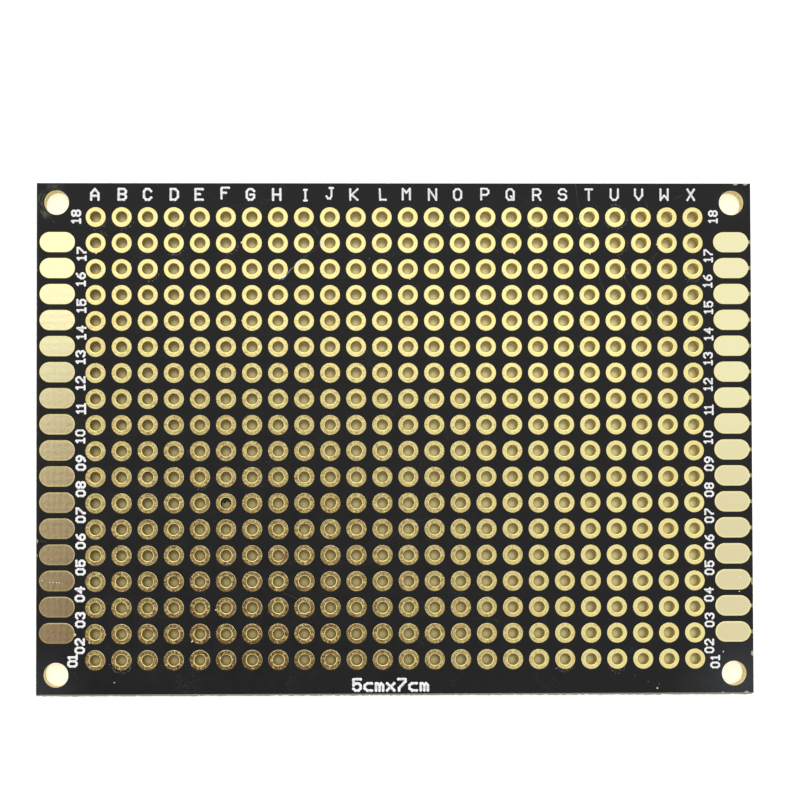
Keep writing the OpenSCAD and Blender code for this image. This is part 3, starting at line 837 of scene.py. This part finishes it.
floor_mesh = bpy.data.meshes.new("floor")
half = FLOOR_SIZE / 2
corners = [(x, y, -FLOOR_DROP * MM) for x, y in [(-half, -half), (half, -half), (half, half), (-half, half)]]
floor_mesh.from_pydata(corners, [], [(0, 1, 2, 3)])
floor = bpy.data.objects.new("floor", floor_mesh)
bpy.context.scene.collection.objects.link(floor)
floor_material, tree, shader = new_material("white_paper")
place = millimetres(tree)
axes = add(tree, "ShaderNodeSeparateXYZ", {0: place}).outputs
past_x = ramp(tree, math_node(tree, "ABSOLUTE", axes["X"]), GRID_HALF[0], GRID_HALF[0] + 0.2)
past_y = ramp(tree, math_node(tree, "ABSOLUTE", axes["Y"]), GRID_HALF[1], GRID_HALF[1] + 0.2)
outside = math_node(tree, "MAXIMUM", past_x, past_y)
rays = add(tree, "ShaderNodeLightPath").outputs
seen = math_node(tree, "MAXIMUM", math_node(tree, "MAXIMUM", rays["Is Camera Ray"], rays["Is Glossy Ray"]),
                 rays["Is Transmission Ray"])
in_cell = []
for axis, drift in [("X", 0.0), ("Y", POOL_DRIFT)]:
    along = math_node(tree, "DIVIDE", math_node(tree, "ADD", axes[axis], drift), PITCH)
    in_cell.append(math_node(tree, "SUBTRACT", math_node(tree, "FRACT", along), 0.5))
from_axis = length_of(tree, *in_cell)
# Painted light: a pool of light glows under each lead hole, brighter towards the lamp.
pool = ramp(tree, from_axis, POOL_RADIUS / PITCH, POOL_CORE / PITCH)
lamp_side = ramp(tree, math_node(tree, "MULTIPLY_ADD", axes["X"], 0.9, axes["Y"]), *LAMP_SIDE)
pool = math_node(tree, "MULTIPLY", pool, math_node(tree, "ADD", lamp_side, 1.0))
pool = math_node(tree, "MULTIPLY_ADD", pool, POOL_LIFT,
                 math_node(tree, "MULTIPLY", lamp_side, POOL_LAMP_LIFT))
level = math_node(tree, "ADD", math_node(tree, "MULTIPLY", outside, FLOOR_LIFT),
                  math_node(tree, "MULTIPLY", pool, math_node(tree, "SUBTRACT", 1.0, outside)))
paper = mixed(tree, noise(tree, place, 0.02), FLOOR_WHITE, PAPER_FLECK)
# Painted light: under the grid the paper is coloured gold, as if lit by the barrels.
tree.links.new(mixed(tree, outside, GOLD_LIT, paper), shader.inputs["Base Color"])
shader.inputs["Roughness"].default_value = 0.9
shader.inputs["Specular IOR Level"].default_value = 0.0
clear_x = ramp(tree, math_node(tree, "ABSOLUTE", axes["X"]), half_length - 0.5, half_length)
clear_y = ramp(tree, math_node(tree, "ABSOLUTE", axes["Y"]), half_width - 0.5, half_width)
clear = math_node(tree, "MAXIMUM", clear_x, clear_y)
# Painted light: inside the board's outline the paper glows warm, and under the grid gold.
light = mixed(tree, outside, POOL_COLOUR, mixed(tree, clear, PAINTED_WARM_LIGHT, (1, 1, 1, 1)))
tree.links.new(light, shader.inputs["Emission Color"])
tree.links.new(math_node(tree, "MULTIPLY", seen, level), shader.inputs["Emission Strength"])
floor_mesh.materials.append(floor_material)


# Studio: a white tent of soft light round the board, dimmer on the side nearest to the photographer. The
# flat gold mirrors the dark opening that the camera looks through, overhead and a little in front, and one
# soft lamp behind the top edge.
OPENING_SLOPE = (-0.040, -0.097)
OPENING_COLOURS = [
    (0.00, (0.085, 0.032, 0.03)), (0.03, (0.14, 0.080, 0.070)), (0.06, (0.235, 0.16, 0.14)),
    (0.09, (0.325, 0.25, 0.225)), (0.12, (0.41, 0.34, 0.305)), (0.155, (0.68, 0.62, 0.58)),
    (0.185, (0.87, 0.84, 0.80)), (0.215, (0.93, 0.92, 0.90)), (0.25, (0.93, 0.925, 0.91)),
    (0.40, (1.0, 1.0, 1.0)),
]
NEAR_SIDE = 0.6
FAR_SIDE = 1.45
TENT_REACH = 0.5
LAMP_PLACE = (-0.05, 0.342, 0.60)
LAMP_SIZE = (0.44, 0.56)
LAMP_TURN = math.radians(-8)
LAMP_POWER = 0.195

world = bpy.data.worlds.new("studio")
bpy.context.scene.world = world
world.use_nodes = True
tree = world.node_tree
direction = add(tree, "ShaderNodeTexCoord").outputs["Generated"]
direction = add(tree, "ShaderNodeVectorMath", {0: direction}, operation="NORMALIZE").outputs[0]
opening = Vector((OPENING_SLOPE[0], OPENING_SLOPE[1], 1)).normalized()
cosine = add(tree, "ShaderNodeVectorMath", {0: direction, 1: opening},
             operation="DOT_PRODUCT").outputs["Value"]
angle = math_node(tree, "ARCCOSINE", math_node(tree, "MINIMUM", cosine, 1.0))
tent = add(tree, "ShaderNodeValToRGB", {0: math_node(tree, "DIVIDE", angle, TENT_REACH)})
tent.color_ramp.interpolation = "LINEAR"
stops = tent.color_ramp.elements
while len(stops) < len(OPENING_COLOURS):
    stops.new(0.5)
for stop, (slope, colour) in zip(stops, OPENING_COLOURS):
    stop.position = slope / TENT_REACH
    stop.color = (*colour, 1)
background = tree.nodes["Background"]
tree.links.new(tent.outputs["Color"], background.inputs["Color"])
across = add(tree, "ShaderNodeSeparateXYZ", {0: direction}).outputs["Y"]
strength = math_node(tree, "MULTIPLY", ramp(tree, across, -0.65, -0.2, NEAR_SIDE, 1.0),
                     ramp(tree, across, 0.2, 0.65, 1.0, FAR_SIDE))
tree.links.new(strength, background.inputs["Strength"])

lamp_data = bpy.data.lights.new("soft_lamp", "AREA")
lamp_data.shape = "RECTANGLE"
lamp_data.size, lamp_data.size_y = LAMP_SIZE
lamp_data.energy = LAMP_POWER
lamp = bpy.data.objects.new("soft_lamp", lamp_data)
lamp.location = LAMP_PLACE
lamp.rotation_euler.z = LAMP_TURN
bpy.context.scene.collection.objects.link(lamp)


# Camera: almost straight above the board, a little left of its middle and towards its lower edge, with the
# photograph's crop taken up by a small shift.
CAMERA_PLACE = (-8.4722, -6.5977, 180.1927)
CAMERA_AIM = (-5.7433, -2.5969)
CAMERA_ROLL = -0.0019
CAMERA_LENS = 83.25
CAMERA_SHIFT = (0.0793, 0.0806)

camera_data = bpy.data.cameras.new("camera")
camera_data.sensor_width = 36.0
camera_data.lens = CAMERA_LENS
camera_data.shift_x, camera_data.shift_y = CAMERA_SHIFT
camera_data.clip_start = 0.01
camera = bpy.data.objects.new("camera", camera_data)
place = Vector((CAMERA_PLACE[0] * MM, CAMERA_PLACE[1] * MM, CAMERA_PLACE[2] * MM + FRONT_FACE))
aim = Vector((CAMERA_AIM[0] * MM, CAMERA_AIM[1] * MM, FRONT_FACE))
back = (place - aim).normalized()
right = Vector((-math.sin(CAMERA_ROLL), math.cos(CAMERA_ROLL), 0)).cross(back).normalized()
up = back.cross(right)
camera.matrix_world = Matrix.Translation(place) @ Matrix((right, up, back)).transposed().to_4x4()
bpy.context.scene.collection.objects.link(camera)
bpy.context.scene.camera = camera
bpy.context.scene.view_settings.view_transform = "Standard"
